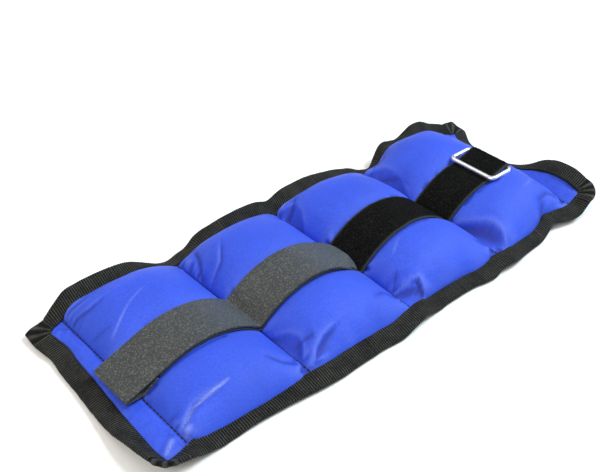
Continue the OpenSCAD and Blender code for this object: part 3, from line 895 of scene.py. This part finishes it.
def pocket(i, top, low):
    """One pocket's cloth, and the sealed bag and the sand inside it."""
    x, y = top[..., 0] - CENTRES[i], top[..., 1]
    sunk, shade = crease_field(i, x, y)
    hollowed = np.where(strap_zone(y) > 0.05, top[..., 2], hollow_out(i, x, y, top[..., 2]))
    top[1:-1, 1:-1, 2] = (hollowed + sunk)[1:-1, 1:-1]
    top[..., 2] = np.maximum(top[..., 2], low[..., 2] + 0.05)
    mark = mark_field(i, x, y)
    along, across = 84, 124     # lengths of the cloth over a filled pocket
    u, v = np.meshgrid(np.linspace(0, along, top.shape[1]), np.linspace(0, across, top.shape[0]))
    uv = np.stack([joined(u, u), joined(v, v)], -1)
    # Painted shade in hollows, folds and along the sharp creases, and a painted highlight on crests, for
    # the nylon's colour.
    painted_shade_and_highlight = np.clip(1.6 * joined(bend_of(top) - 0.10 - shade, -bend_of(low)), -1, 1)
    obj = new_object(f"pocket_cloth_{i + 1}", *close_sheets(top, low), uv, BLUE,
                     {"painted_shade_and_highlight": painted_shade_and_highlight, "mark": joined(mark, 0 * mark)})
    body = BODIES[i + 1]
    stands_for(obj, "cover_cloth", f"outer_cover_{i + 1}", f"lining_{i + 1}", body=body)
    for name, slot, gap, mat in (("sand_bag", "bag_film", 1.0, FILM), ("sand_fill", "sand", 1.8, SAND)):
        inside = close_sheets(*inner_sheets(top, low, gap))
        obj = new_object(f"{name}_inside_{i + 1}", *inside, None, mat)
        stands_for(obj, slot, f"{name}_{i + 1}", body=body)


settled = settled_sheets()
for i in range(4):
    pocket(i, refine(settled[i]), refine(settled[4 + i]))


# ---------------------------------------------------------------- the end flaps' cloth
FLAP_MARK = ((-160, -54), (-154.5, -50.5))      # ends of the pale mark on the left flap


def flap_cloth(side):
    """The empty cloth between a last seam and the end's binding, two layers, crumpled."""
    rows, cols = ((181, 31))
    u, v = np.meshgrid(np.linspace(0, 1, cols), np.linspace(-1, 1, rows))
    seam_x = side * SEAMS[-1]
    x = seam_x + side * u[0] * 11       # to just short of the end binding's inner edge
    far, out_f, _ = side_frame(x, 1)
    near, out_n, _ = side_frame(x, -1)
    far_y = (far + FAR_TUCK(far[:, :1]) * out_f)[:, 1]
    near_y = (near + NEAR_TUCK(near[:, :1]) * out_n)[:, 1]
    y = near_y * (1 - v) / 2 + far_y * (1 + v) / 2
    end, out_e, _ = end_frame(y, side)
    x = seam_x + u * (end[..., 0] + out_e[..., 0] - seam_x)
    z = SEAM_Z + (end[..., 2] - SEAM_Z) * u ** (1.4 if side > 0 else 1.0)
    w_far, w_near = (np.clip(w, 0, 1) ** 8 * np.clip(u * 5, 0, 1) for w in (v, -v))
    z = z * (1 - w_far - w_near) + FAR_Z(x) * w_far + NEAR_Z(x) * w_near
    seed = 70 if side < 0 else 80
    swell = np.sin(np.pi * u) * (1 - np.abs(v) ** 8)
    near_ends = np.exp(-((1 - np.abs(v)) / 0.16))
    ripple = (0.5 * smooth_noise(u * 6, v * 57, 9.0, seed)
              + 1.1 * near_ends * smooth_noise(u * 10 + v * 20, v * 57, 5.0, seed + 1)
              + 0.12 * smooth_noise(u * 12, v * 57, 3.4, seed + 2))
    free = np.clip(u * 8, 0, 1) * np.clip((1 - u) * 8, 0, 1) * np.clip((1 - np.abs(v)) * 30, 0, 1)
    top, low = np.stack([x, y, z], -1), np.stack([x, y, z], -1)
    top[..., 2] += 0.35 * free + (swell + ripple) * free
    low[..., 2] -= 0.35 * free + (0.6 * swell + 0.6 * ripple) * free
    top[..., 2] = np.maximum(top[..., 2], z + 0.3 * free)
    low[..., 2] = np.maximum(np.minimum(low[..., 2], z - 0.3 * free), 0.3)
    if side < 0:
        top, low = top[:, ::-1], low[:, ::-1]
    uv = np.stack([joined(u * 12, u * 12), joined(v * 57, v * 57)], -1)
    # Painted shade in hollows and folds, and a painted highlight on crests, for the nylon's colour.
    painted_shade_and_highlight = np.clip(2.0 * joined(bend_of(top) - 0.02, -bend_of(low)), -1, 1)
    _, gap = along_line(top[..., 0], top[..., 1], *FLAP_MARK)
    mark = 0.55 * np.exp(-((gap / 1.3) ** 2))
    name = "left" if side < 0 else "right"
    obj = new_object(f"flap_cloth_{name}", *close_sheets(top, low), uv, BLUE,
                     {"painted_shade_and_highlight": painted_shade_and_highlight, "mark": joined(mark, 0 * mark)})
    stands_for(obj, "cover_cloth", f"{name}_flap_cover", f"{name}_flap_lining", body=f"flap_{name}")


for side in (-1, 1):
    flap_cloth(side)


# ---------------------------------------------------------------- binding and its stitches
def along_stitches(name, p, out, up):
    """Two rows of stitches through the binding, one on each face."""
    rows, _ = resample(np.concatenate([p, out, up], 1), 3.1)
    p, out, up = rows[:, :3], unit(rows[:, 3:6]), unit(rows[:, 6:9])
    forward = unit(np.gradient(p, axis=0))
    places, face = p + STITCH_IN * out, 1.22 * up
    return stitch_row(name, np.concatenate([places + face, places - face]),
                      np.concatenate([forward, forward]), np.concatenate([up, -up]), 2.3, 0.42)


def side_lengths(side, corner, points):
    """The five lengths of one side, from one pocket's middle to the next, so that each crosses a seam:
    its number, the course of its binding, and the numbers of its pockets."""
    stops = [-corner] + CENTRES + [corner]
    for k in range(5):
        course = side_frame(np.linspace(stops[k], stops[k + 1], points), side)
        yield k, course, [n for n in (k, k + 1) if 1 <= n <= 4]


def end_binding(side, word):
    """The binding round one end, from the far side to the near side. Returns its course."""
    r = 2.2                     # corner radius of the inner edge
    parts = []
    far_y = HALF_W + float(FAR_OFF(side * (END_X - r)))
    near_y = HALF_W + float(NEAR_OFF(side * (END_X - r)))
    for y_side, edge in ((1, far_y), (-1, near_y)):
        reach = END_X + float((RIGHT_OFF if side > 0 else LEFT_OFF)(y_side * (edge - r)))
        x = side * np.linspace(CORNER_X, reach - r, 24)
        along_side = np.concatenate(side_frame(x, y_side), -1)
        a, b = along_side[-1], np.concatenate(end_frame(y_side * (edge - r), side))
        rows = []
        for t in np.linspace(0, math.pi / 2, 34)[1:-1]:
            share = t / (math.pi / 2)
            share = share * share * (3 - 2 * share)
            flat = np.array([side * math.sin(t), y_side * math.cos(t), 0.0])
            lift = a[5] * (1 - share) + b[5] * share
            lean = math.asin(lift)
            point = np.array([side * (reach - r), y_side * (edge - r), 0.0]) + r * flat
            point[2] = a[2] * (1 - share) + b[2] * share
            mitre = 1 / max(math.cos(t), math.sin(t)) if y_side > 0 else 1.0
            rows.append(np.concatenate([point, (flat * math.cos(lean) + [0, 0, lift]) * mitre,
                                        np.array([0, 0, math.cos(lean)]) - flat * lift]))
        parts.append(np.concatenate([along_side, rows]))
    y = np.linspace(far_y - r, -(near_y - r), 150)
    rows = np.concatenate([parts[0], np.concatenate(end_frame(y, side), -1), parts[1][::-1]])
    course = rows[:, :3], rows[:, 3:6], rows[:, 6:9]
    obj = bind(f"{word}_end_binding", *course, 150 + side)
    if side < 0:
        obj.data.flip_normals()
    stands_for(obj, "binding", f"{word}_end_binding", body=f"flap_{word}")
    return course


for side, word in ((-1, "front"), (1, "back")):
    for k, course, pockets in side_lengths(side, CORNER_X, 160):
        obj = bind(f"{word}_binding_{k + 1}", *course, 100 + 10 * k + side)
        if side > 0:
            obj.data.flip_normals()
        bend_at_seam(obj, k)
        stands_for(obj, "binding", *[f"{word}_binding_{n}" for n in pockets])
ends = {word: end_binding(side, word) for side, word in ((-1, "left"), (1, "right"))}
for side, word in ((-1, "front"), (1, "back")):
    for k, course, pockets in side_lengths(side, CORNER_X - 1, 120):
        obj = along_stitches(f"{word}_binding_stitches_{k + 1}", *course)
        bend_at_seam(obj, k)
        stands_for(obj, "thread", *[f"binding_thread_{n}" for n in pockets])
for word, course in ends.items():
    obj = along_stitches(f"{word}_end_stitches", *course)
    stands_for(obj, "thread", f"{word}_end_thread", body=f"flap_{word}")


# ---------------------------------------------------------------- cross seams
for k, x in enumerate(SEAMS):
    y = np.arange(-HALF_W - float(NEAR_OFF(x)) + 1.4, HALF_W + float(FAR_OFF(x)) - 0.8, 2.9)
    along, up = (np.tile(axis, (len(y), 1)) for axis in ([0.0, 1.0, 0.0], [0.0, 0.0, 1.0]))
    place = np.stack([np.full_like(y, x), y, np.full_like(y, SEAM_Z)], -1)
    both = np.concatenate([place + [0, 0, 0.35], place - [0, 0, 0.35]])
    obj = stitch_row(f"seam_stitches_{k + 1}", both, np.concatenate([along, along]),
                     np.concatenate([up, -up]), 2.5, 0.7)
    owner = ["pocket_1", "pocket_2", "pocket_2", "pocket_3", "pocket_4"][k]
    stands_for(obj, "thread", f"seam_thread_{k + 1}", body=owner)


# ---------------------------------------------------------------- tapes
SELVEDGE = 1.3                  # width of the loop tape's smooth woven edges
STEP = 0.5                      # between the points of a tape's path
TAPE_STEP = 0.6       # between its rings
TIP_R = 8.0                     # corner radius of the strap's tip
FOLD_R = 0.15 + HOOK_T / 2      # radius of the strap's fold, to the strap's middle


def crown_path(i, lift, x0, x1):
    """Points over a pocket's crown, lift above the cloth, from x0 to x1 of the pocket's middle."""
    x = np.linspace(x0, x1, 160)
    r = crown_radius(STRAP_H[i])
    z = np.sqrt((r + lift) ** 2 - x * x) + STRAP_H[i] - r
    return np.stack([CENTRES[i] + x, SEAM_Z + z], 1)


def tape_section(width, thick, n=26):
    """Thin rounded rectangle: across and up."""
    half, edge = width / 2, 0.45
    a = np.linspace(-half + edge, half - edge, n)
    turn = np.linspace(0, math.pi, 7)[1:-1]
    nose = [(half - edge + edge * math.sin(t), thick / 2 * math.cos(t)) for t in turn]
    top = [(v, thick / 2) for v in a]
    under = [(v, -thick / 2) for v in a[::-1]]
    back = [(-p[0], -p[1]) for p in nose]
    return np.array(top + nose + under + back)


def tape_frame(line, drift):
    """Middle, across and normal of a tape, along a line of x and z."""
    centres = np.stack([line[:, 0], TAPE_Y + drift(line[:, 0]), line[:, 1]], 1)
    across = np.tile([0.0, 1.0, 0.0], (len(line), 1))
    return centres, across, unit(np.cross(unit(np.gradient(centres, axis=0)), across))


def no_drift(x):
    """The tape stays straight."""
    return 0 * x


def strap_drift(x):
    """How far the strap wanders across the cuff."""
    return 0.35 * smooth_noise(x, 0.0, 45, 171)


def tape(name, path, thick, mat, width=TAPE_W, shape=None, drift=no_drift, sides=26):
    """A flat tape whose middle follows a path of x and z."""
    line, s = resample(path, TAPE_STEP)
    section = tape_section(width, thick, sides)
    edge = np.clip((np.abs(section[:, 0]) - width / 2 + SELVEDGE) / 0.3, 0, 1)
    return sweep(name, *tape_frame(line, drift), section, s, mat, shape=shape,
                 extra={"selvedge": np.tile(edge, len(line))})


def pile_shape(seed):
    """Curled pile that stands proud of the tape's flat woven edges."""

    def shape(a, c, s):
        rough = 0.16 * smooth_noise(s, a, 0.8, seed) + 0.10 * smooth_noise(s, a, 1.7, seed + 1)
        inside = np.clip((TAPE_W / 2 - SELVEDGE - np.abs(a)) / 0.8, 0, 1)
        frayed = 0.12 * smooth_noise(s, 0 * s, 1.4, seed + 2) * np.sign(a)
        return a + frayed * (1 - inside), c + np.where(c > 0, (rough + 0.25) * inside - 0.15, 0.0)

    return shape


def strap_shape(seed, tip_at=None):
    """A slightly waved strap. If its length is given, it ends in a rounded tip whose near corner droops."""

    def shape(a, c, s):
        wave = 0.10 * smooth_noise(s, a, 14, seed)
        edge = 0.10 * (np.abs(a) / (TAPE_W / 2)) ** 6
        weave = 0.02 * np.cos(2 * np.pi * s / 0.9)
        if tip_at is not None:
            left = np.clip(tip_at - s, 0, TIP_R)
            half = TAPE_W / 2 - (TIP_R - np.sqrt(np.maximum(TIP_R**2 - (TIP_R - left) ** 2, 0)))
            a = a * (half / (TAPE_W / 2))
            ease = np.clip(1 - (tip_at - s) / 30, 0, 1) ** 2
            wave = wave - 5.6 * ease * np.clip(-a / 15, 0, 1) ** 1.5 - 0.8 * ease
        return a, c + wave + np.sign(c) * (edge + weave)

    return shape


def tangent_angle(start, centre, radius):
    """Slope of the line from start that passes just over a circle."""
    gap = np.subtract(centre, start)
    return math.atan2(gap[1], gap[0]) + math.asin(radius / np.linalg.norm(gap))


def loop_tape_path():
    """Over the pockets, up to the ring, round its held bar and back under."""
    lift, half = TAPE_GAP + LOOP_T / 2, PITCH / 2
    over = [crown_path(i, lift, x0, x1) for i, x0, x1 in
            ((0, -26.5, half), (1, -half, half), (2, -half, half), (3, -half, -1.0))]
    radius = BAR_R + LOOP_T / 2
    rise = tangent_angle((CENTRES[3], SEAM_Z + STRAP_H[3] + lift), BAR, radius)
    turn = np.linspace(math.pi / 2 + rise, -math.pi / 2, 60)
    loop = np.array(BAR) + radius * np.stack([np.cos(turn), np.sin(turn)], 1)
    tail = [[CENTRES[3] + 6.0, BAR[1] - radius]]
    return soften(resample(np.concatenate([*over, loop, tail]), STEP)[0], 0.9, STEP)


def hook_strap_path():
    """From the fold, straight up to the first crown, over it, and over the next to the tip."""
    lift = TAPE_GAP + LOOP_T + 0.3 + HOOK_T / 2
    r = crown_radius(STRAP_H[0])
    centre = np.array([CENTRES[0], SEAM_Z + STRAP_H[0] - r])
    start = np.array([FOLD[0], FOLD[1] + FOLD_R])
    gap = centre - start
    reach = math.sqrt(gap @ gap - (r + lift) ** 2)
    angle = tangent_angle(start, centre, r + lift)
    touch = start + reach * np.array([math.cos(angle), math.sin(angle)])
    straight = start + np.linspace(0, 1, 40)[:, None] * (touch - start)
    over = crown_path(0, lift, touch[0] - CENTRES[0] + 0.5, PITCH / 2)
    last = crown_path(1, lift, -PITCH / 2, 22.0)
    tip_run = last[-1] + np.arange(1, 39)[:, None] * 0.5 * unit(last[-1] - last[-2])
    return soften(resample(np.concatenate([straight, over, last, tip_run]), STEP)[0], 1.6, STEP)


# the loop tape, in three lengths that meet on the second and third crowns
path = loop_tape_path()
cuts = [0, *[int(np.argmin(np.abs(path[:, 0] - x))) for x in CENTRES[1:3]], len(path) - 1]
for k in range(3):
    obj = tape(f"loop_tape_{'abc'[k]}", path[cuts[k]:cuts[k + 1] + 1], LOOP_T, PILE,
               width=TAPE_W - (0.6 if k == 2 else 0), shape=pile_shape(180 + 5 * k), sides=40)
    bend_at_seam(obj, k + 1)
    stands_for(obj, "loop_tape", f"loop_tape_{k + 1}", f"loop_tape_{k + 2}")

# the hook strap: its sewn-down layer, its fold, and the layer that comes back
fold_x, fold_z = FOLD
anchor = np.concatenate([[[fold_x, fold_z - FOLD_R], [fold_x + 3.5, fold_z - FOLD_R - 0.05]],
                         crown_path(0, TAPE_GAP + HOOK_T / 2, -35.6, -27.5)])
anchor = soften(resample(anchor, STEP)[0], 1.6, STEP)
obj = tape("hook_strap_anchor", anchor, HOOK_T, WEBBING, shape=strap_shape(200), drift=strap_drift)
stands_for(obj, "hook_strap", "strap_anchor", body="pocket_1")

turn = np.linspace(-math.pi / 2, -1.5 * math.pi, 24)
line, s = resample(np.stack([fold_x + FOLD_R * np.cos(turn), fold_z + FOLD_R * np.sin(turn)], 1), 0.12)
obj = sweep("hook_strap_fold", *tape_frame(line, strap_drift), tape_section(TAPE_W, HOOK_T - 0.02), s,
            WEBBING)
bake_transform(obj)
stands_for(obj, "hook_strap", "strap_anchor", "hook_strap_base")

path = hook_strap_path()
length = np.linalg.norm(np.diff(path, axis=0), axis=1).sum()
obj = tape("hook_strap", path, HOOK_T, WEBBING, shape=strap_shape(210, tip_at=length), drift=strap_drift,
           sides=34)
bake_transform(obj)
stands_for(obj, "hook_strap", "hook_strap_base", "hook_strap_tip")


# ---------------------------------------------------------------- stitching across the tapes
def cross_stitches(name, x, z, lean, body, node):
    """A row of stitches across a tape that leans so far from level."""
    y = np.arange(TAPE_Y - 12.5, TAPE_Y + 12.6, 2.6)
    up = np.array([-math.sin(lean), 0.0, math.cos(lean)])
    place = np.stack([np.full_like(y, x), y, np.full_like(y, z)], -1) - 0.2 * up
    across, ups = (np.tile(axis, (len(y), 1)) for axis in ([0.0, 1.0, 0.0], up))
    stands_for(stitch_row(name, place, across, ups, 2.1, 0.5), "thread", node, body=body)


r = crown_radius(STRAP_H[0])
over = r + TAPE_GAP + HOOK_T    # to the upper face of the sewn-down layer
for n, back in enumerate((-33.5, -29.5)):
    lean = math.asin(back / over)
    z = SEAM_Z + STRAP_H[0] - r + over * math.cos(lean) + 0.1
    cross_stitches(f"anchor_stitches_{n + 1}", CENTRES[0] + back, z, -lean, "pocket_1", "anchor_stitches")
leave = np.array([CENTRES[3], SEAM_Z + STRAP_H[3] + TAPE_GAP])      # where the tape leaves the last crown
rise = tangent_angle(leave, BAR, BAR_R)
slope, up = np.array([math.cos(rise), math.sin(rise)]), np.array([-math.sin(rise), math.cos(rise)])
for n, along in enumerate((6.5, 8.5)):
    x, z = leave + along * slope + (LOOP_T + 0.25) * up
    cross_stitches(f"keeper_stitches_{n + 1}", x, z, rise, "pocket_4", "keeper_stitches")


# ---------------------------------------------------------------- ring
def ring():
    """A wire ring with round corners, lying level on the tape, its right side held by the tape's loop."""
    half_l, half_w, r, wire, sides = 9.0, 17.0, 3.2, 1.5, 24
    corners = [(1, 1, 0), (-1, 1, 90), (-1, -1, 180), (1, -1, 270)]
    pts = []
    for sx, sy, deg in corners:
        for t in np.radians(np.linspace(deg, deg + 90, 25)):
            pts.append((sx * (half_l - r) + r * math.cos(t), sy * (half_w - r) + r * math.sin(t)))
    line = resample(np.array(pts + pts[:1]), 0.5)[0][:-1]
    centres = np.concatenate([line, np.zeros((len(line), 1))], 1) + [BAR[0] - half_l, TAPE_Y, BAR[1]]
    forward = unit(np.roll(centres, -1, 0) - np.roll(centres, 1, 0))
    up = np.tile([0.0, 0.0, 1.0], (len(line), 1))
    out = np.cross(forward, up)
    ang = np.arange(sides) * 2 * math.pi / sides
    p = (centres[:, None] + wire * np.cos(ang)[None, :, None] * out[:, None]
         + wire * np.sin(ang)[None, :, None] * up[:, None])
    quads = grid_faces(len(line) + 1, sides, wrap=True) % (len(line) * sides)
    obj = new_object("wire_ring", p.reshape(-1, 3), quads, None, NICKEL)
    stands_for(obj, "ring_metal", "buckle_ring", body="ring")


ring()


# ---------------------------------------------------------------- stage
def stage_floor():
    """A wide pale floor just under the cuff."""
    m = Nodes("pale_floor")
    colour = m.mix(m.patches(3, 2, 0.3, 0.7), (0.90, 0.90, 0.90, 1), (0.93, 0.93, 0.93, 1))
    mat = m.done(colour, Roughness=0.9, Specular_IOR_Level=0.1)
    size = 6000.0
    corners = [(-size, -size, -0.1), (size, -size, -0.1), (size, size, -0.1), (-size, size, -0.1)]
    new_object("floor", corners, [[0, 1, 2, 3]], None, mat)


def aim(obj, place, target):
    """Puts a light or camera at a place, in metres, looking at another."""
    obj.location = place
    obj.rotation_mode = "QUATERNION"
    obj.rotation_quaternion = (Vector(target) - obj.location).to_track_quat("-Z", "Y")
    scene.collection.objects.link(obj)


def area_light(name, place, size, power, colour):
    """A soft light that looks at the cuff's middle."""
    data = bpy.data.lights.new(name, "AREA")
    data.shape = "RECTANGLE"
    data.size, data.size_y = size
    data.energy = power
    data.color = colour
    aim(bpy.data.objects.new(name, data), place, (0, 0, 0))


scene = bpy.context.scene
stage_floor()
world = bpy.data.worlds.new("studio")
world.use_nodes = True
world.node_tree.nodes["Background"].inputs[0].default_value = (1.0, 1.0, 1.0, 1)
world.node_tree.nodes["Background"].inputs[1].default_value = 0.38
scene.world = world
area_light("key", (1.5, -0.7, 1.9), (1.0, 1.0), 70.0, (0.78, 0.93, 1.0))
area_light("fill", (-1.5, -0.5, 1.3), (1.2, 1.2), 22.0, (1.0, 0.94, 0.84))
area_light("back", (-0.2, 1.4, 1.7), (1.4, 1.0), 12.0, (1.0, 0.92, 0.86))

camera_data = bpy.data.cameras.new("camera")
camera_data.lens = 56.9
camera_data.sensor_width = 36.0
camera_data.clip_start, camera_data.clip_end = 0.01, 20
camera = bpy.data.objects.new("camera", camera_data)
aim(camera, (-0.3099, -0.3191, 0.3459), (0.00404, 0.03856, 0))
scene.camera = camera
scene.view_settings.view_transform = "Standard"
